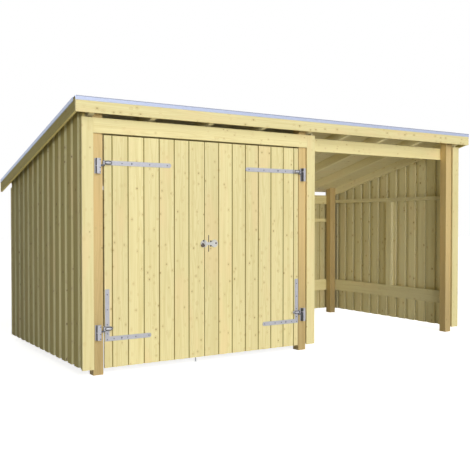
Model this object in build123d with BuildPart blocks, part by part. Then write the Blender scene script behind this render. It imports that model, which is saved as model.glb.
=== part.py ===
# Open-front garden shed: a closed bay with double doors beside an open bay, under one lean-to roof.
# Millimetres. +Z is up, -Y is the front. The origin is on the ground, under the middle of the roof.
from build123d import *
import os
from math import cos, radians, tan

os.makedirs("parts", exist_ok=True)

# Stock timber
post_size = 88
board_w = 100
board_t = 20
board_lap = 20
trim_w = 100
rail_t = 45
thin_rail_h = 45
deep_rail_h = 148
stud_w = 88
rafter_w = 45
rafter_h = 88
deck_t = 18
header_t = 20
header_h = 125
front_beam_h = 130
back_beam_h = 120
fascia_h = 120
barge_h = 112
arris = 2

# Overall layout
bay_clear = 2040
depth_clear = 1945
side_overhang = 77
front_overhang = 76
back_overhang = 36
roof_pitch_deg = 13.63

# Heights above the ground, and steps between pieces one above the other
roof_front_z = 2279
cladding_z = 53
lower_rail_z = 312
fascia_to_header = 25
header_to_beam = 18
back_seat = 10
beam_to_upper_rail = 11
beam_to_mid_rail = 250

# Where the boards, the studs and the rafters fall
left_board_start = 142
right_board_start = 142
back_board_start = -36
stud_from_front = 960
closed_rafter_step = 575
open_rafter_step = 530
open_rafter_shift = 30

# Roof covering and its metal edge
covering_t = 6
edge_t = 2
edge_drop = 34
side_drop = 26
side_lip = 8
edge_lap = 60
edge_joint = 0.5

# Doors
door_board_t = 20
door_side_gap = 10
door_middle_gap = 6
door_meeting_shift = -52
door_top_gap = 13
door_proud = 5
groove_pitch = 146.2
groove_w = 11
groove_floor = 4
groove_deep = 8
left_grooves = (70, 214)
right_grooves = (54, 181)
ledge_w = 100
ledge_t = 20
ledge_inset = 30
brace_inset = 25
brace_foot = 150
brace_gap = 0.3

# Hinges, their pins and the plates that carry the pins
strap_t = 5
strap_w = 38
strap_len = 625
strap_below_top = 228
angle_rise = 433
angle_reach = 422
angle_z = 276
angle_inset = 3
angle_to_eye = 91
pin_r = 6
pin_gap = 0.3
eye_wall = 5
eye_h = 30
lug_r = 7
lug_h = 12
plate_t = 4
plate_w = 55
plate_h = 126
plate_edge = 18
plate_to_eye = 76
channel_w = 34
channel_d = 32
channel_wall = 4
channel_edge = 29
link_half = 40
link_r = 20
link_to_pin = 35
strap_to_pin = 62

# Latch and drop bolt
latch_z = 1073
latch_r = 34
latch_t = 8
rose_shift = -7
latch_span = 108
latch_neck_h = 26
bolt_r = 6
bolt_tip_z = 4
bolt_from_edge = 62
bolt_gap = 0.5
bolt_handle = 45
guide_w = 44
guide_h = 26
guide_wall = 4

# Places across the width
shed_w = 2 * trim_w + 3 * post_size + 2 * bay_clear
left_end = -shed_w / 2
left_post_x = left_end + trim_w
middle_post_x = left_post_x + post_size + bay_clear
right_post_x = middle_post_x + post_size + bay_clear
right_face_x = right_post_x + post_size
left_rail_x = left_post_x - rail_t
middle_rail_x = middle_post_x + post_size
right_rail_x = right_face_x + rail_t
partition_x = middle_rail_x + rail_t
back_left = left_rail_x - 2 * board_t
back_right = right_rail_x + 2 * board_t
roof_left = left_end - side_overhang
roof_right = -roof_left

# Places from front to back
wall_depth = board_t + 2 * post_size + depth_clear + rail_t + 2 * board_t
roof_depth = front_overhang + wall_depth + back_overhang
front_y = -(roof_depth + edge_t) / 2 + edge_t + front_overhang
post_front_y = front_y + board_t
post_back_y = post_front_y + post_size
rear_post_y = post_back_y + depth_clear
rear_rail_y = rear_post_y + post_size
rear_board_y = rear_rail_y + rail_t
roof_front_y = front_y - front_overhang
roof_back_y = roof_front_y + roof_depth
fascia_back_y = roof_front_y + board_t
rear_face_y = rear_board_y + 2 * board_t

# Vertical thickness of each sloping layer
slope = tan(radians(roof_pitch_deg))
lean = 1 / cos(radians(roof_pitch_deg))
covering_v = covering_t * lean
deck_v = deck_t * lean
rafter_v = rafter_h * lean


def roof_top(y):
    """Height of the top of the covering."""
    return roof_front_z - edge_t - (y - roof_front_y) * slope


def deck_top(y):
    """Height of the top of the deck."""
    return roof_top(y) - covering_v


def deck_under(y):
    """Height of the underside of the deck, where rafters, posts and boards stop."""
    return deck_top(y) - deck_v


def rafter_under(y):
    """Height of the underside of the rafters."""
    return deck_under(y) - rafter_v


# Heights that follow the roof
fascia_z = deck_top(roof_front_y) - fascia_h
header_top = fascia_z - fascia_to_header
header_z = header_top - header_h
front_beam_z = header_z - header_to_beam
back_top = rafter_under(rear_rail_y) + back_seat
back_beam_z = back_top - back_beam_h
upper_rail_z = back_beam_z + beam_to_upper_rail
back_mid_rail_z = back_beam_z - beam_to_mid_rail


def save(piece, name):
    """Names a finished piece and writes it."""
    piece.part.label = name
    export_step(piece.part, f"parts/{name}.step")


def timber(x0, x1, y0, y1, z0, z1):
    """A squared timber between two corners, added to the piece being built."""
    with BuildSketch(Plane.XY.offset(z0)) as section:
        with Locations(((x0 + x1) / 2, (y0 + y1) / 2)):
            Rectangle(x1 - x0, y1 - y0)
    extrude(section.sketch, amount=z1 - z0)


def ease_arrises(axis):
    """Takes the sharp arrises off the timbers of the piece being built, along their length."""
    chamfer(edges().filter_by(axis), arris)


def sloped(x0, x1, y0, y1, low, high):
    """A timber between two side planes whose low and high faces are functions of y."""
    with BuildSketch(Plane.YZ.offset(x0)) as profile:
        with BuildLine():
            Polyline((y0, low(y0)), (y1, low(y1)), (y1, high(y1)), (y0, high(y0)), close=True)
        make_face()
    extrude(profile.sketch, amount=x1 - x0)


def spans(first, start, end):
    """Near and far edges of boards on a common pitch, cut off at the ends of the wall."""
    pitch = 2 * (board_w - board_lap)
    near = first - pitch
    found = []
    while near < end:
        low = max(near, start)
        high = min(near + board_w, end)
        if high - low > board_t:
            found.append((low, high))
        near += pitch
    return found


# Posts, cut to the slope under the deck
post_places = {
    "front_left_post": (left_post_x, post_front_y),
    "front_middle_post": (middle_post_x, post_front_y),
    "front_right_post": (right_post_x, post_front_y),
    "back_left_post": (left_post_x, rear_post_y),
    "back_middle_post": (middle_post_x, rear_post_y),
    "back_right_post": (right_post_x, rear_post_y),
}
for name, (x, y) in post_places.items():
    with BuildPart() as post:
        sloped(x, x + post_size, y, y + post_size, lambda at: 0, deck_under)
        ease_arrises(Axis.Z)
    save(post, name)

# Beams behind the posts
with BuildPart() as front_beam:
    timber(left_post_x, right_face_x, post_back_y, post_back_y + rail_t, front_beam_z, front_beam_z + front_beam_h)
    ease_arrises(Axis.X)
save(front_beam, "front_beam")

with BuildPart() as back_beam:
    timber(left_rail_x, right_rail_x, rear_rail_y, rear_board_y, back_beam_z, back_top)
save(back_beam, "back_beam")

# Board over the doors, between two of the front trims
with BuildPart() as door_header:
    timber(left_post_x, middle_rail_x, front_y, front_y + header_t, header_z, header_top)
    ease_arrises(Axis.X)
save(door_header, "door_header")

# Trims that close the front ends of the three walls
wall_faces = (left_end, middle_rail_x, right_face_x)
with BuildPart() as front_trims:
    for x in wall_faces:
        timber(x, x + trim_w, front_y, post_front_y, cladding_z, header_top)
    ease_arrises(Axis.Z)
save(front_trims, "front_trims")

# Rafters. Those of the walls lie beside the posts, the others are seated on the beams
rail_faces = (left_rail_x, middle_rail_x, right_face_x)


def cut_beams():
    """Cuts the beams, and the back boards under the rafters, out of the piece being built."""
    for x0, x1, y0, y1, z, h in (
        (left_post_x, right_face_x, post_back_y, post_back_y + rail_t, front_beam_z, front_beam_h),
        (back_left, back_right, rear_rail_y, rear_face_y, back_beam_z, back_beam_h),
    ):
        with Locations(((x0 + x1) / 2, (y0 + y1) / 2, z + h / 2)):
            Box(x1 - x0, y1 - y0, h, mode=Mode.SUBTRACT)


with BuildPart() as wall_rafters:
    for x in rail_faces:
        sloped(x, x + rail_t, fascia_back_y, roof_back_y, rafter_under, deck_under)
    cut_beams()
save(wall_rafters, "wall_rafters")

closed_middle_x = (left_post_x + post_size + middle_post_x) / 2
open_middle_x = (middle_post_x + post_size + right_post_x) / 2 + open_rafter_shift
for name, middle, step in (
    ("closed_bay_rafters", closed_middle_x, closed_rafter_step),
    ("open_bay_rafters", open_middle_x, open_rafter_step),
):
    with BuildPart() as rafters:
        for at in (-1, 0, 1):
            x = middle + at * step - rafter_w / 2
            sloped(x, x + rafter_w, fascia_back_y, roof_back_y, rafter_under, deck_under)
        cut_beams()
    save(rafters, name)

# Roof deck, covering, fascia and barge boards
deck_left = roof_left + board_t
deck_right = roof_right - board_t
with BuildPart() as roof_deck:
    sloped(deck_left, deck_right, fascia_back_y, roof_back_y, deck_under, deck_top)
save(roof_deck, "roof_deck")

with BuildPart() as roof_covering:
    sloped(roof_left, roof_right, roof_front_y, roof_back_y, deck_top, roof_top)
save(roof_covering, "roof_covering")

with BuildPart() as front_fascia:
    sloped(roof_left, roof_right, roof_front_y, fascia_back_y, lambda at: fascia_z, deck_top)
save(front_fascia, "front_fascia")


def barge_under(y):
    return deck_top(y) - barge_h


with BuildPart() as barge_boards:
    sloped(roof_left, deck_left, fascia_back_y, roof_back_y, barge_under, deck_top)
    sloped(deck_right, roof_right, fascia_back_y, roof_back_y, barge_under, deck_top)
save(barge_boards, "barge_boards")


# Metal angles round the roof: one leg on the covering, one down its edge
def edge_top(y):
    return roof_top(y) + edge_t


def edge_foot(y):
    return edge_top(y) - edge_drop


def side_top(y):
    return edge_top(y) + side_lip


def side_foot(y):
    return edge_top(y) - side_drop


with BuildPart() as roof_edges:
    sloped(roof_left - edge_t, roof_right + edge_t, roof_front_y - edge_t, roof_front_y, edge_foot, edge_top)
    sloped(roof_left - edge_t, roof_right + edge_t, roof_front_y, roof_front_y + edge_lap, roof_top, edge_top)
    near = roof_front_y + edge_lap + edge_joint
    for x0, x1, lap0, lap1 in (
        (roof_left - edge_t, roof_left, roof_left, roof_left + edge_lap),
        (roof_right, roof_right + edge_t, roof_right - edge_lap, roof_right),
    ):
        sloped(x0, x1, near, roof_back_y, side_foot, side_top)
        sloped(lap0, lap1, near, roof_back_y, roof_top, edge_top)
save(roof_edges, "roof_edges")

# Rails and studs of the three side walls
wall_names = ("left_wall", "middle_wall", "right_wall")
for name, x in zip(wall_names, rail_faces):
    with BuildPart() as rails:
        timber(x, x + rail_t, post_front_y, rear_rail_y, lower_rail_z, lower_rail_z + deep_rail_h)
        timber(x, x + rail_t, post_front_y, rear_rail_y, upper_rail_z, upper_rail_z + thin_rail_h)
    save(rails, f"{name}_rails")

stud_y = post_front_y + stud_from_front
with BuildPart() as wall_studs:
    for x in rail_faces:
        timber(x, x + rail_t, stud_y, stud_y + stud_w, lower_rail_z + deep_rail_h, upper_rail_z)
save(wall_studs, "wall_studs")


# Upright boards in two layers, each layer covering the gaps of the other
def side_boards(name, x, first, around_beams):
    with BuildPart() as boards:
        with BuildSketch(Plane.YZ.offset(x)) as layer:
            for near, far in spans(front_y + first, post_front_y, rear_board_y):
                with BuildLine():
                    Polyline((near, cladding_z), (far, cladding_z), (far, deck_under(far)),
                             (near, deck_under(near)), close=True)
                make_face()
        extrude(amount=board_t)
        if around_beams:
            cut_beams()
    save(boards, name)


half_pitch = board_w - board_lap
side_boards("left_wall_inner_boards", left_rail_x - board_t, left_board_start - half_pitch, False)
side_boards("left_wall_outer_boards", left_rail_x - 2 * board_t, left_board_start, False)
side_boards("middle_wall_inner_boards", partition_x, left_board_start - half_pitch, True)
side_boards("middle_wall_outer_boards", partition_x + board_t, left_board_start, True)
side_boards("right_wall_inner_boards", right_rail_x, right_board_start, False)
side_boards("right_wall_outer_boards", right_rail_x + board_t, right_board_start - half_pitch, False)

# Back wall: two rails in each bay, and boards across both bays
with BuildPart() as back_wall_rails:
    for x0, x1 in ((left_rail_x, partition_x), (partition_x + 2 * board_t, right_rail_x)):
        timber(x0, x1, rear_rail_y, rear_board_y, lower_rail_z, lower_rail_z + deep_rail_h)
        timber(x0, x1, rear_rail_y, rear_board_y, back_mid_rail_z, back_mid_rail_z + thin_rail_h)
save(back_wall_rails, "back_wall_rails")

for name, y, first in (
    ("back_wall_inner_boards", rear_board_y, back_board_start),
    ("back_wall_outer_boards", rear_board_y + board_t, back_board_start + half_pitch),
):
    with BuildPart() as boards:
        for x0, x1 in spans(left_end + first, back_left, back_right):
            timber(x0, x1, y, y + board_t, cladding_z, back_top)
    save(boards, name)

# Doors. side is 1 for the left leaf, whose pin is on the left, and -1 for the right leaf
half_opening = (bay_clear - 2 * door_side_gap - door_middle_gap) / 2
leaf_widths = {1: half_opening + door_meeting_shift, -1: half_opening - door_meeting_shift}
meeting_x = closed_middle_x + door_meeting_shift
leaf_top_z = header_z - door_top_gap
leaf_front_y = post_front_y - door_proud
leaf_back_y = leaf_front_y + door_board_t
ledge_back_y = leaf_back_y + ledge_t
eye_r = pin_r + pin_gap + eye_wall
pin_y = leaf_front_y - eye_r
pin_x_left = left_post_x + post_size + door_side_gap / 2
pin_x_right = middle_post_x - door_side_gap / 2
strap_middle_z = leaf_top_z - strap_below_top
top_eye_z = strap_middle_z - eye_h / 2
low_eye_z = angle_z + angle_to_eye
ledge_low_z = angle_z + strap_w / 2 - ledge_w / 2
ledge_mid_z = latch_z - ledge_w / 2
ledge_high_z = strap_middle_z - ledge_w / 2
ledge_heights = (ledge_low_z, ledge_mid_z, ledge_high_z)


def across(side, distance):
    """x at a distance from the hinged edge of a leaf, towards its free edge."""
    hinged = meeting_x - side * (door_middle_gap / 2 + leaf_widths[side])
    return hinged + side * distance


def ordered(a, b):
    return (min(a, b), max(a, b))


def door_boards(side, edge_grooves, name):
    """Matched boards. The first board at the hinged edge is a narrow one, cut to the width of the leaf."""
    first, second = edge_grooves
    with BuildPart() as leaf:
        x0, x1 = ordered(across(side, 0), across(side, leaf_widths[side]))
        timber(x0, x1, leaf_front_y, leaf_back_y, cladding_z, leaf_top_z)
        ease_arrises(Axis.Z)
        with BuildSketch(Plane.XY.offset(cladding_z)) as grooves:
            places = [first]
            at = second
            while at < leaf_widths[side] - groove_pitch / 2:
                places.append(at)
                at += groove_pitch
            for x in (across(side, place) for place in places):
                with BuildLine():
                    Polyline((x - groove_w / 2, leaf_front_y), (x + groove_w / 2, leaf_front_y),
                             (x + groove_floor / 2, leaf_front_y + groove_deep),
                             (x - groove_floor / 2, leaf_front_y + groove_deep), close=True)
                make_face()
        extrude(amount=leaf_top_z - cladding_z, mode=Mode.SUBTRACT)
    save(leaf, name)


def door_ledges(side, name):
    with BuildPart() as ledges:
        x0, x1 = ordered(across(side, ledge_inset), across(side, leaf_widths[side] - ledge_inset))
        for z in ledge_heights:
            timber(x0, x1, leaf_back_y, ledge_back_y, z, z + ledge_w)
    save(ledges, name)


def door_braces(side, name):
    """Two slanting braces that rise from the hinged edge, cut to the ledges."""
    with BuildPart() as braces:
        for low, high in zip(ledge_heights, ledge_heights[1:]):
            z0 = low + ledge_w + brace_gap
            z1 = high - brace_gap
            foot = ledge_inset + brace_inset
            head = leaf_widths[side] - ledge_inset - brace_inset
            with BuildSketch(Plane.XZ.offset(-ledge_back_y)):
                with BuildLine():
                    Polyline((across(side, foot), z0), (across(side, foot + brace_foot), z0),
                             (across(side, head), z1), (across(side, head - brace_foot), z1), close=True)
                make_face()
            extrude(amount=ledge_t)
    save(braces, name)


def door_hinges(side, name):
    """A straight strap at the top and an angle at the bottom, each held to its eye by a spindle-shaped link."""
    pin_x = pin_x_left if side == 1 else pin_x_right
    face = Plane.XZ.offset(-leaf_front_y)
    with BuildPart() as hinges:
        # Strap with a rounded tip
        start = pin_x + side * strap_to_pin
        tip = pin_x + side * strap_len
        with BuildSketch(face):
            with Locations(((start + tip) / 2 - side * strap_w / 4, strap_middle_z)):
                Rectangle(strap_len - strap_to_pin - strap_w / 2, strap_w)
            with Locations((tip - side * strap_w / 2, strap_middle_z)):
                Circle(strap_w / 2)
        extrude(amount=strap_t)
        # Angle: an upright arm and a level arm with a rounded tip
        near = across(side, angle_inset)
        far = near + side * angle_reach
        with BuildSketch(face):
            with Locations((near + side * strap_w / 2, angle_z + angle_rise / 2)):
                Rectangle(strap_w, angle_rise)
            with Locations(((near + far) / 2 - side * strap_w / 4, angle_z + strap_w / 2)):
                Rectangle(angle_reach - strap_w / 2, strap_w)
            with Locations((far - side * strap_w / 2, angle_z + strap_w / 2)):
                Circle(strap_w / 2)
        extrude(amount=strap_t)
        # Eyes and their links. The back of each link is cut flat against the leaf
        for z in (top_eye_z, low_eye_z):
            link_x = pin_x + side * link_to_pin
            with BuildSketch(Plane.XY.offset(z + eye_h / 2)):
                with Locations((link_x, pin_y)):
                    Ellipse(link_half, link_r)
                with Locations((link_x, pin_y + link_r)):
                    Rectangle(2 * link_half, 2 * link_r, mode=Mode.SUBTRACT)
            revolve(axis=Axis((link_x, pin_y, z + eye_h / 2), (1, 0, 0)))
            with Locations((link_x, leaf_front_y + link_r / 2, z + eye_h / 2)):
                Box(2 * link_half, link_r, 2 * link_r, mode=Mode.SUBTRACT)
            with BuildSketch(Plane.XY.offset(z)):
                with Locations((pin_x, pin_y)):
                    Circle(eye_r)
            extrude(amount=eye_h)
            with BuildSketch(Plane.XY.offset(z)):
                with Locations((pin_x, pin_y)):
                    Circle(pin_r + pin_gap)
            extrude(amount=eye_h, mode=Mode.SUBTRACT)
    save(hinges, name)


def door_pintles(side, name):
    """Post plates with a channel, a lug and an upright pin, one for each eye of a leaf."""
    pin_x = pin_x_left if side == 1 else pin_x_right
    post_face = pin_x - side * door_side_gap / 2
    with BuildPart() as pintles:
        for eye_z in (top_eye_z, low_eye_z):
            plate_z = eye_z - plate_to_eye
            x0, x1 = ordered(post_face - side * plate_edge, post_face - side * (plate_edge + plate_w))
            timber(x0, x1, post_front_y - plate_t, post_front_y, plate_z, plate_z + plate_h)
            channel_x = post_face - side * (channel_edge + channel_w / 2)
            channel_front = post_front_y - channel_d
            with BuildSketch(Plane.XY.offset(plate_z)):
                with Locations((channel_x, channel_front + channel_d / 2)):
                    Rectangle(channel_w, channel_d)
                with Locations((channel_x, channel_front + channel_wall + channel_d / 2)):
                    Rectangle(channel_w - 2 * channel_wall, channel_d, mode=Mode.SUBTRACT)
            extrude(amount=plate_h)
            lug_z = eye_z - pin_gap - lug_h
            inner, outer = ordered(post_face - side * (channel_edge + channel_wall), pin_x)
            timber(inner, outer, pin_y - lug_r, post_front_y - plate_t, lug_z, lug_z + lug_h)
            with BuildSketch(Plane.XY.offset(lug_z)):
                with Locations((pin_x, pin_y)):
                    Circle(lug_r)
            extrude(amount=lug_h)
            with BuildSketch(Plane.XY.offset(lug_z + lug_h)):
                with Locations((pin_x, pin_y)):
                    Circle(pin_r)
            extrude(amount=eye_h + 2 * pin_gap + eye_wall)
    save(pintles, name)


def latch_half(side, name):
    """Half of the latch: a round rose on the meeting edges, and a bar to a round plate on the right leaf."""
    rose_x = meeting_x + rose_shift
    plate_x = rose_x + latch_span
    edge = across(side, leaf_widths[side])
    with BuildPart() as latch:
        with BuildSketch(Plane.XZ.offset(-leaf_front_y)):
            with Locations((rose_x, latch_z), (plate_x, latch_z)):
                Circle(latch_r)
            with Locations(((rose_x + plate_x) / 2, latch_z)):
                Rectangle(latch_span, latch_neck_h)
            with Locations((edge + side * latch_span, latch_z)):
                Rectangle(2 * latch_span, 2 * latch_r, mode=Mode.SUBTRACT)
        extrude(amount=latch_t)
    save(latch, name)


for side, word, edge_grooves in ((1, "left", left_grooves), (-1, "right", right_grooves)):
    door_boards(side, edge_grooves, f"{word}_door_boards")
    door_ledges(side, f"{word}_door_ledges")
    door_braces(side, f"{word}_door_braces")
    door_hinges(side, f"{word}_door_hinges")
    door_pintles(side, f"{word}_door_pintles")
    latch_half(side, f"{word}_door_latch")

# Drop bolt behind the free edge of the left leaf, in two guides on the low ledge
bolt_x = across(1, leaf_widths[1] - bolt_from_edge)
bolt_y = ledge_back_y + guide_wall + bolt_gap + bolt_r
guide_top = ledge_low_z + ledge_w - guide_wall
handle_z = guide_top + bolt_gap + bolt_r
with BuildPart() as drop_bolt:
    with BuildSketch(Plane.XY.offset(bolt_tip_z)):
        with Locations((bolt_x, bolt_y)):
            Circle(bolt_r)
    extrude(amount=handle_z + bolt_r - bolt_tip_z)
    with BuildSketch(Plane.YZ.offset(bolt_x - bolt_handle)):
        with Locations((bolt_y, handle_z)):
            Circle(bolt_r)
    extrude(amount=bolt_handle)
save(drop_bolt, "drop_bolt")

with BuildPart() as drop_bolt_guides:
    guide_r = bolt_r + bolt_gap
    for z in (ledge_low_z + guide_wall, guide_top - guide_h):
        timber(bolt_x - guide_w / 2, bolt_x + guide_w / 2, ledge_back_y, ledge_back_y + guide_wall, z, z + guide_h)
        timber(bolt_x - guide_r - guide_wall, bolt_x + guide_r + guide_wall, ledge_back_y + guide_wall,
               bolt_y + guide_r + guide_wall, z, z + guide_h)
        with BuildSketch(Plane.XY.offset(z)):
            with Locations((bolt_x, bolt_y)):
                Circle(guide_r)
        extrude(amount=guide_h, mode=Mode.SUBTRACT)
save(drop_bolt_guides, "drop_bolt_guides")
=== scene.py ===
"""Open-front garden shed: timber finishes, hinge and latch hardware, floor, light and camera."""
from math import pi, radians, tan

import bpy
from mathutils import Matrix, Vector


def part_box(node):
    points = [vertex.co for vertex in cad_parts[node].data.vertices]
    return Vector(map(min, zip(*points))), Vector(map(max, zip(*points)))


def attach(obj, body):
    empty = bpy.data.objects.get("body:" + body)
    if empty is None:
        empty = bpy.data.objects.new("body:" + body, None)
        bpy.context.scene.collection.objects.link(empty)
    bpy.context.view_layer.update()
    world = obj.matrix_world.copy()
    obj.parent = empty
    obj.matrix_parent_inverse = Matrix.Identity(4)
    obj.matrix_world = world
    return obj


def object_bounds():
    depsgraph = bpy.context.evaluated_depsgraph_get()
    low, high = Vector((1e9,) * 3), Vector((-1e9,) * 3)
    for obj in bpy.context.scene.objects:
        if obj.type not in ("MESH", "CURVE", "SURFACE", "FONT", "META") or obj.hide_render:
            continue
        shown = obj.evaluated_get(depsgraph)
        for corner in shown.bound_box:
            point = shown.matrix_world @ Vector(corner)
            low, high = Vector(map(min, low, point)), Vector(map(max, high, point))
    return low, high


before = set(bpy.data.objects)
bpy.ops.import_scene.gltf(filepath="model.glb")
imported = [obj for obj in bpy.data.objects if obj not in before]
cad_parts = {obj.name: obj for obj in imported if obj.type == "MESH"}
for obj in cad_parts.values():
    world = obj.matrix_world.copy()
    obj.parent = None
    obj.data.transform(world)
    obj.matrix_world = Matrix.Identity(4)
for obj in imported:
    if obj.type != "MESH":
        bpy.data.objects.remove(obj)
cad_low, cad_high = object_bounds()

bpy.ops.object.select_all(action="DESELECT")

# Lengths are in metres and angles in degrees
ROOF_PITCH = 13.63
SLOPE = tan(radians(ROOF_PITCH))

# Wall boards: the step from board to board of a layer, and how far before a board its pattern starts
BOARD_PITCH = 0.16
BOARD_START = 0.03

# First board of each layer, from the front of the trims, and for the back wall from their left end
SIDE_FIRST = {"inner": 0.062, "outer": 0.142}
RIGHT_FIRST = {"inner": 0.142, "outer": 0.062}
BACK_FIRST = {"inner": -0.036, "outer": 0.044}

# Door boards, with their second groove from the hinged edge and the right leaf's first one
DOOR_BOARD = 0.1462
LEFT_SECOND_GROOVE = 0.214
RIGHT_SECOND_GROOVE = 0.181
RIGHT_FIRST_GROOVE = 0.054
GROOVE_HALF = 0.0075
GROOVE_DEEP = 0.009

# A timber on its own lies within one step of a pattern this wide
SINGLE_PITCH = 0.5
SINGLE_START = 0.2

# Softwood
RING = 0.0065
PITH_ASIDE = 0.09
PITH_BEHIND = 0.05
DEPTH_FOLD = 0.05
KNOT = 0.0075
KNOT_CELLS = 19.0
# EDGE_WIDTH is half the width of the painted highlight on a board's front edge
EDGE_WIDTH = 0.002

# What lies this near a plane belongs to the face there
SKIN = 0.001


def paint(red, green, blue):
    """An sRGB colour as Blender's linear one."""
    levels = [value / 255 for value in (red, green, blue)]
    linear = [level / 12.92 if level < 0.04045 else ((level + 0.055) / 1.055) ** 2.4 for level in levels]
    return (*linear, 1)


CREAM = (paint(238, 226, 170), paint(220, 204, 141), paint(240, 217, 162))
TAN = (paint(225, 198, 139), paint(204, 174, 112), paint(226, 193, 131))
# PALE and DECK are paler, less yellow copies for the wood inside and under the roof, painted light that
# offsets the yellow light bounced there
PALE = (paint(238, 229, 184), paint(222, 209, 160), paint(238, 221, 174))
DECK = (paint(244, 235, 193), paint(229, 216, 170), paint(243, 227, 183))
# PAINTED_SHADE_TONES is the cream wood made more olive for the left wall and the barge boards. With their low
# shade it is painted shade for that side
PAINTED_SHADE_TONES = (paint(238, 223, 148), paint(220, 201, 122), paint(240, 215, 140))
# The painted shade inside the grooves of the matched door boards
GROOVE_PAINTED_SHADE = paint(146, 130, 62)
KNOT_HALO = paint(214, 190, 128)
KNOT_HEART = paint(146, 118, 68)

# The turns bring the length of a timber onto Z, its width onto X and its thickness onto Y
UPRIGHT_FRONT = (0, 0, 0)
UPRIGHT_SIDE = (0, 0, radians(-90))
LEVEL_FRONT = (0, radians(-90), 0)
LEVEL_SIDE = (radians(90), 0, 0)
WITH_THE_ROOF = (radians(90 + ROOF_PITCH), 0, 0)


def put(tree, kind, *sources, **settings):
    """Adds a shader node. Plain sources go into its sockets in order, a dictionary by socket name."""
    node = tree.nodes.new("ShaderNode" + kind)
    for key, value in settings.items():
        setattr(node, key, value)
    named = sources[0] if sources and isinstance(sources[0], dict) else dict(enumerate(sources))
    for socket, value in named.items():
        if isinstance(value, bpy.types.NodeSocket):
            tree.links.new(value, node.inputs[socket])
        else:
            node.inputs[socket].default_value = value
    return node


def maths(tree, operation, *values):
    return put(tree, "Math", *values, operation=operation).outputs[0]


def plus(tree, first, second):
    return maths(tree, "ADD", first, second)


def minus(tree, first, second):
    return maths(tree, "SUBTRACT", first, second)


def times(tree, first, second):
    return maths(tree, "MULTIPLY", first, second)


def faded(tree, value, low, high, at_low=0.0, at_high=1.0):
    """A value carried smoothly from one range to another."""
    sources = {"Value": value, "From Min": low, "From Max": high, "To Min": at_low, "To Max": at_high}
    return put(tree, "MapRange", sources, interpolation_type="SMOOTHSTEP").outputs[0]


def mixed(tree, share, first, second):
    """Colour between two colours."""
    return put(tree, "Mix", {0: share, 6: first, 7: second}, data_type="RGBA").outputs[2]


def toned(tree, colour, tone):
    """A colour made darker or lighter."""
    return put(tree, "VectorMath", {0: colour, "Scale": tone}, operation="SCALE").outputs[0]


def stretched(tree, vector, factors):
    """A place or a colour with each of its three numbers multiplied by its own factor."""
    return put(tree, "VectorMath", vector, factors, operation="MULTIPLY").outputs[0]


def xyz(tree, vector):
    """The three numbers of a place."""
    return put(tree, "SeparateXYZ", vector).outputs


def cloudy(tree, place, scale, detail, roughness=0.5):
    """Soft noise, as a number and as a colour."""
    sources = {"Vector": place, "Scale": scale, "Detail": detail, "Roughness": roughness}
    return put(tree, "TexNoise", sources).outputs


def add_relief(tree, shader, height, strength, distance):
    """Fine bumps in the surface."""
    bump = put(tree, "Bump", {"Strength": strength, "Distance": distance, "Height": height})
    tree.links.new(bump.outputs[0], shader.inputs["Normal"])


def new_material(name, roughness, metal=0.0):
    """A material with its node tree, its shader and the place on the object."""
    made = bpy.data.materials.new(name)
    made.use_nodes = True
    tree = made.node_tree
    shader = tree.nodes["Principled BSDF"]
    shader.inputs["Roughness"].default_value = roughness
    shader.inputs["Metallic"].default_value = metal
    return made, tree, shader, put(tree, "TexCoord").outputs["Object"]


def groove_marks(tree, x, y, own_across, pitch, front, extra):
    """Where a matched board has painted shade in the groove beside it, 0 to 1. extra is a groove off the
    pattern.
    """
    from_line = minus(tree, pitch / 2, maths(tree, "ABSOLUTE", own_across))
    if extra is not None:
        from_extra = maths(tree, "ABSOLUTE", minus(tree, x, extra))
        from_line = maths(tree, "MINIMUM", from_line, from_extra)
    beside = maths(tree, "LESS_THAN", from_line, GROOVE_HALF)
    below = minus(tree, y, front)
    inside = times(tree, faded(tree, below, 0.0002, 0.003), maths(tree, "LESS_THAN", below, GROOVE_DEEP))
    return times(tree, beside, inside)


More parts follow.
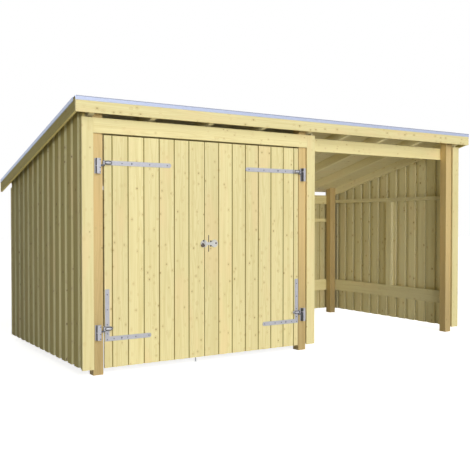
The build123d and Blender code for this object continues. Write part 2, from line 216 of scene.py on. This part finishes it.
def timber(name, turn, pitch=SINGLE_PITCH, start=SINGLE_START, tones=CREAM, shade=1.0, spread=0.12,
           knots=0.75, gloss=0.3, edges=None, painted_light_and_tone=None, grooves=None):
    """Softwood with growth rings, streaks and knots, different on each board of a pattern.

    turn lays it along the timber, and pitch and start say where each board lies across. tones are
    light wood, dark wood and warm patches, shade darkens it all, spread is how much boards differ,
    and knots is the share of the places for a knot that hold one. edges lightens the narrow front
    edge of each board as a painted highlight, weathered gives a tone from x, y and z, much of it
    painted light and shade, and grooves is the front plane of a matched face and the place of a
    groove that is off the pattern, with painted shade in the grooves.
    """
    made, tree, shader, place = new_material(name, 0.62)
    shader.inputs["Specular IOR Level"].default_value = gloss
    light, dark, warm = tones
    x, y, z = xyz(tree, place)
    turned = put(tree, "Mapping", {"Vector": place, "Rotation": turn}).outputs[0]
    across, depth, along = xyz(tree, turned)

    # Which board this is, and three numbers of its own
    steps = maths(tree, "DIVIDE", minus(tree, across, start), pitch)
    board = maths(tree, "FLOOR", steps)
    seed = sum(ord(letter) for letter in name)
    chance = put(tree, "TexWhiteNoise", {"W": plus(tree, board, seed + 0.5)}, noise_dimensions="1D")
    luck = put(tree, "SeparateColor", chance.outputs["Color"]).outputs
    own_across = times(tree, minus(tree, maths(tree, "FRACT", steps), 0.5), pitch)

    # Distance from a pith that wanders beside the board
    slow = put(tree, "CombineXYZ", times(tree, board, 3.7), seed, times(tree, along, 0.9)).outputs[0]
    shift = put(tree, "SeparateColor", cloudy(tree, slow, 1.0, 1.0)["Color"]).outputs
    pith_aside = times(tree, minus(tree, plus(tree, luck[0], shift[0]), 1.0), PITH_ASIDE)
    pith_behind = times(tree, plus(tree, luck[1], shift[1]), PITH_BEHIND)
    aside = minus(tree, own_across, pith_aside)
    behind = plus(tree, maths(tree, "PINGPONG", depth, DEPTH_FOLD), pith_behind)
    reach = maths(tree, "SQRT", plus(tree, times(tree, aside, aside), times(tree, behind, behind)))

    # Knots of several sizes, some fainter than others, at other places on each board
    jump = times(tree, luck[2], 7.0)
    grain = put(tree, "CombineXYZ", plus(tree, across, jump), depth, plus(tree, along, jump)).outputs[0]
    cells = put(tree, "TexVoronoi", {"Vector": stretched(tree, grain, (1.0, 1.0, 0.7)), "Scale": KNOT_CELLS})
    cell = put(tree, "SeparateColor", cells.outputs["Color"]).outputs
    present = maths(tree, "LESS_THAN", cell[0], knots)
    size = times(tree, plus(tree, cell[1], 0.6), KNOT * 0.75)
    strong = times(tree, present, plus(tree, 0.35, times(tree, cell[2], 0.65)))
    near = maths(tree, "DIVIDE", cells.outputs["Distance"], KNOT_CELLS)
    from_heart = maths(tree, "DIVIDE", near, size)
    in_knot = times(tree, strong, faded(tree, from_heart, 0.6, 1.1, 1.0, 0.0))
    round_knot = times(tree, present, faded(tree, from_heart, 0.8, 3.2, 1.0, 0.0))

    # Fine fibres, streaks along the grain and broad patches
    fibres = cloudy(tree, stretched(tree, grain, (260.0, 260.0, 4.0)), 1.0, 2.0, 0.6)[0]
    streaks = cloudy(tree, stretched(tree, grain, (34.0, 34.0, 1.1)), 1.0, 3.0)[0]
    patches = cloudy(tree, stretched(tree, grain, (5.0, 5.0, 1.6)), 1.0, 1.0)[0]

    # Growth rings, pushed aside by the knots and uneven along the streaks
    bent = plus(tree, reach, times(tree, round_knot, KNOT))
    bent = plus(tree, bent, times(tree, streaks, 0.012))
    late = faded(tree, maths(tree, "SINE", times(tree, bent, 2 * pi / RING)), -0.2, 1.0)

    # Colour: the rings, then streaks, patches and fibres, the knots, the painted highlight on the edges and
    # the painted shade in the grooves
    colour = mixed(tree, times(tree, late, 0.42), light, dark)
    colour = mixed(tree, faded(tree, streaks, 0.42, 0.75, 0.0, 0.55), colour, dark)
    colour = mixed(tree, faded(tree, patches, 0.52, 0.72, 0.0, 0.6), colour, warm)
    colour = mixed(tree, faded(tree, fibres, 0.35, 0.8, 0.0, 0.22), colour, dark)
    colour = mixed(tree, times(tree, round_knot, 0.35), colour, KNOT_HALO)
    colour = mixed(tree, times(tree, in_knot, 0.8), colour, KNOT_HEART)
    if edges:
        from_edge = maths(tree, "ABSOLUTE", minus(tree, own_across, BOARD_START - pitch / 2))
        on_lit_edge = maths(tree, "LESS_THAN", from_edge, EDGE_WIDTH)
        colour = mixed(tree, on_lit_edge, colour, stretched(tree, colour, edges))
    if grooves:
        marks = groove_marks(tree, x, y, own_across, pitch, *grooves)
        colour = mixed(tree, times(tree, marks, 0.9), colour, GROOVE_PAINTED_SHADE)

    # Tone: the board's own, the shade of it all, and the tone from x, y and z with its painted light and
    # shade
    tone = plus(tree, 1.0 - spread * 0.62, times(tree, luck[0], spread))
    tone = times(tree, tone, shade)
    if painted_light_and_tone:
        tone = times(tree, tone, painted_light_and_tone(tree, x, y, z))
    tree.links.new(toned(tree, colour, tone), shader.inputs["Base Color"])

    height = plus(tree, times(tree, fibres, 0.5), times(tree, late, 0.35))
    add_relief(tree, shader, minus(tree, height, in_knot), 0.25, 0.0008)
    return made


def galvanised(name, light, dark, roughness, metal=0.4, dimmed=None):
    """Zinc with its flat, faintly patched crystals. dimmed gives, from x, y and z, painted shade, and below 0
    painted light.
    """
    made, tree, shader, place = new_material(name, roughness, metal)
    crystals = put(tree, "TexVoronoi", {"Vector": place, "Scale": 140.0}).outputs["Color"]
    patch = put(tree, "SeparateColor", crystals).outputs[0]
    cloud = cloudy(tree, place, 26.0, 3.0)[0]
    colour = mixed(tree, plus(tree, times(tree, patch, 0.35), times(tree, cloud, 0.5)), light, dark)
    if dimmed:
        colour = toned(tree, colour, minus(tree, 1.0, dimmed(tree, *xyz(tree, place))))
    tree.links.new(colour, shader.inputs["Base Color"])
    add_relief(tree, shader, cloud, 0.2, 0.0003)
    return made


def roofing_sheet():
    """Black rubber sheet with a fine matt grain and a little dust."""
    made, tree, shader, place = new_material("roofing_sheet", 0.75)
    dust = faded(tree, cloudy(tree, place, 2.5, 4.0)[0], 0.4, 0.75, 0.0, 0.6)
    tree.links.new(mixed(tree, dust, paint(52, 53, 56), paint(74, 75, 77)), shader.inputs["Base Color"])
    add_relief(tree, shader, cloudy(tree, place, 900.0, 2.0)[0], 0.4, 0.0006)
    return made


def finish_with(material, *nodes):
    """Gives CAD nodes a material in place of their plain one."""
    for node in nodes:
        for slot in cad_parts[node].material_slots:
            slot.material = material


# The places that the patterns and tones start from
trims_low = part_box("front_trims")[0]
left_leaf_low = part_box("left_door_boards")[0]
right_leaf_low, right_leaf_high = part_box("right_door_boards")
barge_low, barge_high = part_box("barge_boards")
right_post_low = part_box("front_right_post")[0]
right_outer_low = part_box("right_wall_outer_boards")[0]
right_pattern_start = trims_low.y + RIGHT_FIRST["outer"] - BOARD_START


def painted_lit_underside(tree, x, y, z):
    """The underside of a barge board, painted paler as painted light from the pale ground it faces."""
    run = times(tree, minus(tree, barge_high.y, y), SLOPE)
    above = minus(tree, minus(tree, z, barge_low.z), run)
    return plus(tree, 1.0, times(tree, maths(tree, "LESS_THAN", above, SKIN), 0.8))


def darker_foot(tree, x, y, z):
    """A post is darker towards the ground."""
    return faded(tree, z, 0.0, 1.3, 0.74, 1.0)


def darker_foot_painted_lit_side(tree, x, y, z):
    """The front right post, with the side towards the open bay painted paler as painted light."""
    side = maths(tree, "LESS_THAN", x, right_post_low.x + SKIN)
    paler = plus(tree, 1.0, times(tree, side, 0.28))
    return times(tree, darker_foot(tree, x, y, z), paler)


def across_the_front(tree, x, y, z):
    """The front is a little darker to the right."""
    return faded(tree, x, cad_low.x, cad_high.x, 1.0, 0.93)


def painted_shade_to_back(tree, x, y, z):
    """The closed side is darker towards the back, as painted shade."""
    return faded(tree, y, cad_low.y, cad_high.y, 1.0, 0.64)


def open_bay_painted_shade(tree, x, y, z):
    """Painted light and shade: the right wall paler to the front, and each gap inside dark at the next inner
    board.
    """
    step = maths(tree, "FRACT", maths(tree, "DIVIDE", minus(tree, y, right_pattern_start), BOARD_PITCH))
    next_board = BOARD_START / BOARD_PITCH + 0.5
    corner = times(tree, faded(tree, step, 0.60, 0.67), maths(tree, "LESS_THAN", step, next_board))
    inside = maths(tree, "LESS_THAN", x, right_outer_low.x + SKIN)
    outer_layer = maths(tree, "GREATER_THAN", x, right_outer_low.x - SKIN / 2)
    dark = times(tree, corner, times(tree, inside, outer_layer))
    tone = minus(tree, 1.0, times(tree, dark, 0.35))
    return times(tree, tone, faded(tree, y, cad_low.y, cad_high.y, 1.16, 0.84))


# Each wall's tones, shade, painted highlight on the boards' front edges, spread from board to board, and
# painted light and shade along it
WALLS = {
    "left": (PAINTED_SHADE_TONES, 0.70, (1.35, 1.5, 2.25), 0.08, painted_shade_to_back),
    "middle": (PALE, 1.0, None, 0.08, None),
    "right": (PALE, 0.94, None, 0.05, open_bay_painted_shade),
}
for wall, (tones, shade, edges, spread, painted_light_and_tone) in WALLS.items():
    firsts = RIGHT_FIRST if wall == "right" else SIDE_FIRST
    for layer, first in firsts.items():
        pattern_start = trims_low.y + first - BOARD_START
        boards = timber(f"{wall}_{layer}_cladding", UPRIGHT_SIDE, BOARD_PITCH, pattern_start, tones, shade,
                        spread, knots=0.35, gloss=0.1, edges=edges, painted_light_and_tone=painted_light_and_tone)
        finish_with(boards, f"{wall}_wall_{layer}_boards")
for layer, first in BACK_FIRST.items():
    pattern_start = trims_low.x + first - BOARD_START
    boards = timber(f"back_{layer}_cladding", UPRIGHT_FRONT, BOARD_PITCH, pattern_start, shade=0.74)
    finish_with(boards, f"back_wall_{layer}_boards")

# Doors and the face of the front
left_boards = timber("left_door_timber", UPRIGHT_FRONT, DOOR_BOARD, left_leaf_low.x + LEFT_SECOND_GROOVE,
                     shade=0.97, painted_light_and_tone=across_the_front, grooves=(left_leaf_low.y, None))
finish_with(left_boards, "left_door_boards")
right_grooves = (right_leaf_low.y, right_leaf_high.x - RIGHT_FIRST_GROOVE)
right_boards = timber("right_door_timber", UPRIGHT_FRONT, DOOR_BOARD, right_leaf_high.x - RIGHT_SECOND_GROOVE,
                      shade=0.97, painted_light_and_tone=across_the_front, grooves=right_grooves)
finish_with(right_boards, "right_door_boards")
for leaf in ("left", "right"):
    finish_with(timber(f"{leaf}_ledge_timber", LEVEL_FRONT), f"{leaf}_door_ledges", f"{leaf}_door_braces")
trims = timber("trim_timber", UPRIGHT_FRONT, shade=0.97, spread=0.04, painted_light_and_tone=across_the_front)
finish_with(trims, "front_trims")
header = timber("header_timber", LEVEL_FRONT, start=-2.3, knots=0.9, painted_light_and_tone=across_the_front)
finish_with(header, "door_header")
fascia = timber("fascia_timber", LEVEL_FRONT, start=-2.5, shade=0.96, knots=0.85, painted_light_and_tone=across_the_front)
finish_with(fascia, "front_fascia")

# Roof and frame
barges = timber("barge_timber", WITH_THE_ROOF, tones=PAINTED_SHADE_TONES, shade=0.65, gloss=0.1, painted_light_and_tone=painted_lit_underside)
finish_with(barges, "barge_boards")
rafters = timber("rafter_timber", WITH_THE_ROOF, 0.2, 0.05, DECK, knots=0.4)
finish_with(rafters, "wall_rafters", "closed_bay_rafters", "open_bay_rafters")
finish_with(timber("deck_timber", LEVEL_FRONT, tones=DECK, knots=0.4), "roof_deck")
finish_with(timber("beam_timber", LEVEL_FRONT, start=-2.4, knots=0.9), "front_beam", "back_beam")
side_rails = timber("side_rail_timber", LEVEL_SIDE, tones=PALE, shade=0.87)
finish_with(side_rails, "left_wall_rails", "middle_wall_rails", "right_wall_rails")
finish_with(timber("back_rail_timber", LEVEL_FRONT), "back_wall_rails")
finish_with(timber("stud_timber", UPRIGHT_SIDE, tones=PALE, shade=0.95, knots=0.4), "wall_studs")
for corner in ("front_left", "front_middle", "front_right", "back_left", "back_middle", "back_right"):
    shade = 0.84 if corner.endswith("right") else 1.0
    foot = darker_foot_painted_lit_side if corner == "front_right" else darker_foot
    post = timber(f"{corner}_post_timber", UPRIGHT_FRONT, tones=TAN, shade=shade, knots=0.4, painted_light_and_tone=foot)
    finish_with(post, f"{corner}_post")

# Hinge steel. The eyes of the hinges turn on pins, carried by lugs on channels that stand on plates
PLATE_T = 0.004
CHANNEL_W = 0.034
CHANNEL_OUT = 0.010
CHANNEL_D = 0.032
LINK_R = 0.020
ANGLE_TO_EYE = 0.106
EYE_TO_PLATE = 0.091

# Painted shade on steel that stays in shade. STEEL_SKIN is how near a plane counts as its face, BAND is half
# of each bright band across a channel's side, and DIM_EDGE is how much of a right channel's front is dim
# beside its side
STEEL_SKIN = 0.0006
BAND = 0.004
LEFT_BAND_DROP = 0.028
DIM_EDGE = 0.010
IN_SHADE = 0.75

left_pins_low, left_pins_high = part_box("left_door_pintles")
right_pins_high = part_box("right_door_pintles")[1]
hinges_low, hinges_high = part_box("left_door_hinges")
eye_heights = (hinges_high.z - LINK_R, hinges_low.z + ANGLE_TO_EYE)


def off_the_bands(tree, z, drop):
    """1 except in a narrow bright band that far below the middle of each eye."""
    clear = 1.0
    for eye_z in eye_heights:
        apart = maths(tree, "ABSOLUTE", minus(tree, z, eye_z - drop))
        clear = times(tree, clear, maths(tree, "GREATER_THAN", apart, BAND))
    return clear


def proud_of_the_plate(tree, y):
    """1 on what stands out in front of the plates."""
    return maths(tree, "LESS_THAN", y, left_pins_high.y - PLATE_T - STEEL_SKIN)


def beside_left_channel(tree, x, y, z):
    """Painted shade on the outer side of the left channels, and on the lugs and pins between them and the
    doors.
    """
    from_side = maths(tree, "ABSOLUTE", minus(tree, x, left_pins_low.x + CHANNEL_OUT))
    on_side = maths(tree, "LESS_THAN", from_side, STEEL_SKIN)
    side = times(tree, on_side, off_the_bands(tree, z, LEFT_BAND_DROP))
    lugs = maths(tree, "GREATER_THAN", x, left_pins_low.x + CHANNEL_OUT + CHANNEL_W + STEEL_SKIN)
    dim = times(tree, maths(tree, "MAXIMUM", side, lugs), proud_of_the_plate(tree, y))
    return times(tree, dim, IN_SHADE)


def beside_right_channel(tree, x, y, z):
    """Painted shade on the inner side of the right channels with the edge of their front, and on the lugs and
    pins beside it.
    """
    parts = maths(tree, "LESS_THAN", x, right_pins_high.x - CHANNEL_OUT - CHANNEL_W + DIM_EDGE)
    dim = times(tree, times(tree, parts, proud_of_the_plate(tree, y)), off_the_bands(tree, z, 0.0))
    return times(tree, dim, IN_SHADE)


zinc_tones = (paint(178, 178, 184), paint(153, 154, 163), 0.5)
zinc = galvanised("galvanised_steel", *zinc_tones)
finish_with(zinc, "left_door_hinges", "right_door_hinges", "drop_bolt", "drop_bolt_guides")
finish_with(galvanised("left_pin_zinc", *zinc_tones, dimmed=beside_left_channel), "left_door_pintles")
finish_with(galvanised("right_pin_zinc", *zinc_tones, dimmed=beside_right_channel), "right_door_pintles")
latch_zinc = galvanised("latch_zinc", paint(204, 203, 200), paint(172, 170, 168), 0.5, 0.3)
finish_with(latch_zinc, "left_door_latch", "right_door_latch")
dark_steel = galvanised("dark_steel", paint(68, 72, 76), paint(48, 51, 56), 0.45, 0.2)
bronzed = galvanised("bronzed_steel", paint(92, 78, 68), paint(70, 58, 50), 0.55, 0.2)
screw_steel = galvanised("screw_steel", paint(112, 114, 124), paint(88, 90, 100), 0.4, 0.2)
finish_with(roofing_sheet(), "roof_covering")

# Roof edging, measured down from the slope of the roof: where the dark line of its rolled top ends at the
# front and at the sides, and where its foot starts
ROLL = 0.007
SIDE_ROLL = -0.001
FOOT = 0.019
SIDE_SKIN = 0.0025
edge_low, edge_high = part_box("roof_edges")


def rolled_lines(tree, x, y, z):
    """A darker line along the rolled top. The sides are painted paler as painted light, with a line along
    their foot too.
    """
    run = times(tree, minus(tree, y, edge_low.y), SLOPE)
    below = minus(tree, minus(tree, edge_high.z, run), z)
    at_side = maths(tree, "GREATER_THAN", maths(tree, "ABSOLUTE", x), edge_high.x - SIDE_SKIN)
    reach = minus(tree, ROLL, times(tree, at_side, ROLL - SIDE_ROLL))
    roll = maths(tree, "LESS_THAN", below, reach)
    foot = times(tree, at_side, maths(tree, "GREATER_THAN", below, FOOT))
    dark = plus(tree, times(tree, roll, 0.42), times(tree, foot, 0.75))
    return minus(tree, dark, times(tree, at_side, 0.9))


edging = galvanised("roof_edge_metal", paint(178, 187, 210), paint(164, 173, 200), 0.5, 0.3, rolled_lines)
finish_with(edging, "roof_edges")

# Small hardware. Distances run from the pin along a strap, or from the corner of the angle along its arms
HINGE_T = 0.005
PIN_FROM_BOX = 0.0113
STRAP_SCREWS = (0.163, 0.418, 0.587)
STRAP_BOLT = 0.252
ANGLE_FROM_LEAF = 0.003
ANGLE_ARM = 0.038
UPRIGHT_SCREWS = (0.014, 0.062, 0.139, 0.263, 0.388)
LEVEL_SCREWS = (0.079, 0.202, 0.277, 0.399)
LEVEL_BOLT = 0.148
PLATE_SCREWS = (0.012, 0.050, 0.112)
PIN_TO_CHANNEL = 0.034
PLATE_SCREW_INSET = 0.006

# Heads
HEAD_T = 0.0028
SCREW_R = 0.0055
BOLT_R = 0.008
PLATE_SCREW_R = 0.0045

# Beads of the links
BEAD_TO_PIN = 0.032
BEAD_X = 0.030
BEAD_Z = 0.0112
BEAD_WIRE = 0.0036
BEAD_PROUD = 0.0147


def new_piece(add, name, **settings):
    """Adds a primitive at its size and place, with its turn already in its mesh."""
    add(**settings)
    piece = bpy.context.object
    piece.name = piece.data.name = name
    bpy.ops.object.transform_apply(location=True, rotation=True, scale=True)
    return piece


def pick(piece, kind, test):
    """Selects, in edit mode, the faces, edges or points that pass a test."""
    bpy.ops.object.mode_set(mode="EDIT")
    bpy.ops.mesh.select_mode(type=kind)
    bpy.ops.mesh.select_all(action="DESELECT")
    bpy.ops.object.mode_set(mode="OBJECT")
    parts = {"FACE": piece.data.polygons, "EDGE": piece.data.edges, "VERT": piece.data.vertices}[kind]
    for part in parts:
        part.select = test(part)
    bpy.ops.object.mode_set(mode="EDIT")


def fit(piece, body, material):
    """Finishes a steel piece and fastens it to the body that carries it."""
    bpy.ops.object.mode_set(mode="OBJECT")
    bpy.ops.object.shade_smooth_by_angle(angle=radians(35))
    piece.data.materials.clear()
    piece.data.materials.append(material)
    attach(piece, body)


def joined_copies(piece, shifts):
    """Copies a piece to more places, each copy with its own mesh, and joins them all."""
    bpy.ops.object.select_all(action="DESELECT")
    for shift in shifts:
        copy = piece.copy()
        copy.data = piece.data.copy()
        bpy.context.collection.objects.link(copy)
        copy.data.transform(Matrix.Translation(shift))
        copy.select_set(True)
    piece.select_set(True)
    bpy.context.view_layer.objects.active = piece
    bpy.ops.object.join()
    return piece


def screw_head(name, place, radius, socket, dome):
    """One head with a rounded rim and a sunk socket. place is the centre of its seat.

    socket and dome are the shares of the radius that the socket and the rounding take.
    """
    x, y, z = place
    piece = new_piece(bpy.ops.mesh.primitive_cylinder_add, name, vertices=20, radius=radius, depth=HEAD_T,
                      location=(x, y - HEAD_T / 2, z), rotation=(pi / 2, 0, 0))
    crown = y - HEAD_T * 0.99

    def on_the_crown(edge):
        return all(piece.data.vertices[i].co.y < crown for i in edge.vertices)

    def on_top(face):
        return len(face.vertices) > 8 and face.normal.y < -0.9

    pick(piece, "EDGE", on_the_crown)
    bpy.ops.mesh.bevel(offset=radius * dome, segments=3)
    pick(piece, "FACE", on_top)
    bpy.ops.mesh.inset(thickness=radius * (1 - dome) * (1 - socket))
    bpy.ops.mesh.extrude_region_move(TRANSFORM_OT_translate={"value": (0, HEAD_T * 0.7, 0)})
    bpy.ops.object.mode_set(mode="OBJECT")
    return piece


def heads(name, body, places, radius, socket=0.5, dome=0.3, material=screw_steel):
    """One piece of equal heads, a head at each place."""
    first = Vector(places[0])
    piece = screw_head(name, first, radius, socket, dome)
    shifts = [Vector(place) - first for place in places[1:]]
    fit(joined_copies(piece, shifts), body, material)


def link_beads(name, body, centres):
    """A forged bead round the front of each link of a hinge, half sunk in the spindle; its dark steel is
    partly painted shade.
    """
    x, y, z = centres[0]
    place = (x, y - BEAD_PROUD, z)
    bpy.ops.curve.primitive_bezier_circle_add(radius=1, location=place, rotation=(pi / 2, 0, 0),
                                              enter_editmode=True)
    bpy.ops.transform.resize(value=(BEAD_X, 1, BEAD_Z))
    bpy.ops.object.mode_set(mode="OBJECT")
    wire = bpy.context.object.data
    wire.bevel_depth = BEAD_WIRE
    wire.resolution_u = 8
    wire.bevel_resolution = 2
    bpy.ops.object.convert(target="MESH")
    piece = bpy.context.object
    piece.name = piece.data.name = name
    bpy.ops.object.transform_apply(location=True, rotation=True, scale=True)
    shifts = [Vector(centre) - Vector(centres[0]) for centre in centres[1:]]
    fit(joined_copies(piece, shifts), body, dark_steel)


strap_z = eye_heights[0]
leaf_face = left_leaf_low.y
steel_y = leaf_face - HINGE_T
HANDS = (
    ("left", 1, left_leaf_low.x, left_pins_high.y),
    ("right", -1, right_leaf_high.x, right_pins_high.y),
)
for leaf, side, leaf_edge, pins_back in HANDS:
    hinge_low, hinge_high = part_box(f"{leaf}_door_hinges")
    pin_x = hinge_low.x + PIN_FROM_BOX if side == 1 else hinge_high.x - PIN_FROM_BOX
    angle_x = leaf_edge + side * ANGLE_FROM_LEAF
    angle_z = hinge_low.z
    level_z = angle_z + ANGLE_ARM / 2
    places = [(pin_x + side * out, steel_y, strap_z) for out in STRAP_SCREWS]
    places += [(angle_x + side * ANGLE_ARM / 2, steel_y, angle_z + up) for up in UPRIGHT_SCREWS]
    places += [(angle_x + side * out, steel_y, level_z) for out in LEVEL_SCREWS]
    heads(f"{leaf}_hinge_screws", f"{leaf}_door", places, SCREW_R)
    places = [(pin_x + side * STRAP_BOLT, steel_y, strap_z), (angle_x + side * LEVEL_BOLT, steel_y, level_z)]
    heads(f"{leaf}_hinge_bolts", f"{leaf}_door", places, BOLT_R, 0.35, 0.45)

    rivet_x = pin_x - side * (PIN_TO_CHANNEL + PLATE_SCREW_INSET)
    rivet_y = pins_back - CHANNEL_D
    places = [(rivet_x, rivet_y, eye_z - EYE_TO_PLATE + up) for eye_z in eye_heights for up in PLATE_SCREWS]
    heads(f"{leaf}_plate_screws", "shed", places, PLATE_SCREW_R, material=dark_steel)

    bead_x = pin_x + side * BEAD_TO_PIN
    bead_y = hinge_low.y + LINK_R
    link_beads(f"{leaf}_link_beads", f"{leaf}_door", [(bead_x, bead_y, eye_z) for eye_z in eye_heights])

# Latch: a drop ring and a knob on the rose of the left leaf, and on the right leaf a bolt, two studs and
# a rod behind the bar. Places run from the middle of the rose or of the plate on the right leaf
LATCH_R = 0.034
DROP_AT = (-0.017, -0.012)
DROP_R = 0.0116
DROP_TUBE = 0.0066
DROP_TOP = 0.004
DROP_FOOT = 0.006
KNOB_AT = (-0.006, 0.027)
KNOB_R = 0.0075
BOLT_AT = (0.016, 0.003)
LATCH_BOLT_R = 0.0085
STUDS_AT = ((0.073, 0.020), (0.073, -0.020))
STUD_R = 0.0085
ROD_AT = (0.049, 0.002)
ROD_R = 0.0033
ROD_PROUD = 0.0035
ROD_LENGTH = 0.15
ROD_ROUNDING = 0.0015

latch_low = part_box("left_door_latch")[0]
latch_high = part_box("right_door_latch")[1]
latch_y = latch_low.y
latch_z = latch_low.z + LATCH_R
rose_x = latch_low.x + LATCH_R
plate_x = latch_high.x - LATCH_R

drop_place = (rose_x + DROP_AT[0], latch_y - DROP_TUBE, latch_z + DROP_AT[1])
drop = new_piece(bpy.ops.mesh.primitive_torus_add, "latch_ring", major_radius=DROP_R, minor_radius=DROP_TUBE,
                 major_segments=28, minor_segments=10, location=drop_place, rotation=(pi / 2, 0, 0))

# The ring is drawn narrow at its top and wide at its foot
pick(drop, "VERT", lambda point: point.co.z > drop_place[2] + DROP_TOP)
bpy.ops.transform.resize(value=(0.45, 1, 1.2), center_override=drop_place)
pick(drop, "VERT", lambda point: point.co.z < drop_place[2] - DROP_FOOT)
bpy.ops.transform.resize(value=(1.25, 1, 1), center_override=drop_place)
fit(drop, "left_door", bronzed)

knob_place = (rose_x + KNOB_AT[0], latch_y, latch_z + KNOB_AT[1])
heads("latch_knob", "left_door", [knob_place], KNOB_R, 0.4, material=dark_steel)
bolt_place = (plate_x + BOLT_AT[0], latch_y, latch_z + BOLT_AT[1])
heads("latch_bolt", "right_door", [bolt_place], LATCH_BOLT_R, 0.4, 0.4, bronzed)
# Two dark studs right of the rod, above and below it; their dark steel is partly painted shade there
stud_places = [(rose_x + out, leaf_face, latch_z + up) for out, up in STUDS_AT]
heads("latch_pins", "right_door", stud_places, STUD_R, 0.4, material=dark_steel)

rod = new_piece(bpy.ops.mesh.primitive_cylinder_add, "latch_rod", vertices=16, radius=ROD_R, depth=ROD_LENGTH,
                location=(rose_x + ROD_AT[0], leaf_face - ROD_PROUD, latch_z + ROD_AT[1]))


def round_an_end(edge):
    """An edge round one end of the rod, and not along it."""
    first, second = (rod.data.vertices[i].co.z for i in edge.vertices)
    return abs(first - second) < 1e-6


pick(rod, "EDGE", round_an_end)
bpy.ops.mesh.bevel(offset=ROD_ROUNDING, segments=2)
fit(rod, "right_door", dark_steel)


def seen(tree):
    """1 where the camera sees, straight or in a reflection, and 0 for the light that is given."""
    rays = put(tree, "LightPath").outputs
    mirrored = maths(tree, "MAXIMUM", rays["Is Glossy Ray"], rays["Is Transmission Ray"])
    return maths(tree, "MAXIMUM", rays["Is Camera Ray"], mirrored)


def floor():
    """A pale floor that stays white to the eye and still takes a soft shadow."""
    bpy.ops.mesh.primitive_plane_add(size=80)
    ground = bpy.context.object
    ground.name = "floor"
    made = bpy.data.materials.new("pale_floor")
    made.use_nodes = True
    tree = made.node_tree
    tree.nodes.clear()
    matt = put(tree, "BsdfDiffuse", {"Color": paint(232, 232, 230)}).outputs[0]
    strength = times(tree, seen(tree), 0.84)
    glow = put(tree, "Emission", {"Color": (1, 1, 1, 1), "Strength": strength}).outputs[0]
    both = put(tree, "AddShader", matt, glow).outputs[0]
    put(tree, "OutputMaterial", {"Surface": both})
    ground.data.materials.append(made)


def sky():
    """White behind the shed, and an even fill light on it."""
    world = bpy.data.worlds.new("studio")
    bpy.context.scene.world = world
    world.use_nodes = True
    tree = world.node_tree
    tree.nodes.clear()
    strength = faded(tree, seen(tree), 0.0, 1.0, 0.03, 1.0)
    white = put(tree, "Background", {"Color": (1, 1, 1, 1), "Strength": strength}).outputs[0]
    put(tree, "OutputWorld", {"Surface": white})


def lamp(name, azimuth, elevation, strength, softness):
    """A soft distant lamp. Azimuth 0 shines along +Y, onto the front of the shed."""
    bpy.ops.object.light_add(type="SUN", rotation=(radians(90 - elevation), 0, radians(azimuth)))
    light = bpy.context.object
    light.name = name
    light.data.energy = strength
    light.data.angle = radians(softness)


floor()
sky()
lamp("key_lamp", 3, 8, 1.30, 40)
lamp("upper_lamp", 5, 35, 1.17, 40)
lamp("left_lamp", -24, 2, 0.95, 14)
lamp("right_lamp", 104, 4, 1.40, 16)
lamp("back_lamp", 172, 4, 1.80, 16)

# Camera
VIEWPOINT = (-4.2885, -6.5653, 1.2794)
TILT = 88.84
TURN = -32.52
LENS = 53.77
bpy.ops.object.camera_add(location=VIEWPOINT, rotation=(radians(TILT), 0, radians(TURN)))
camera = bpy.context.object
camera.data.lens = LENS
camera.data.sensor_width = 36
camera.data.clip_end = 200
bpy.context.scene.camera = camera
bpy.context.scene.view_settings.view_transform = "Standard"
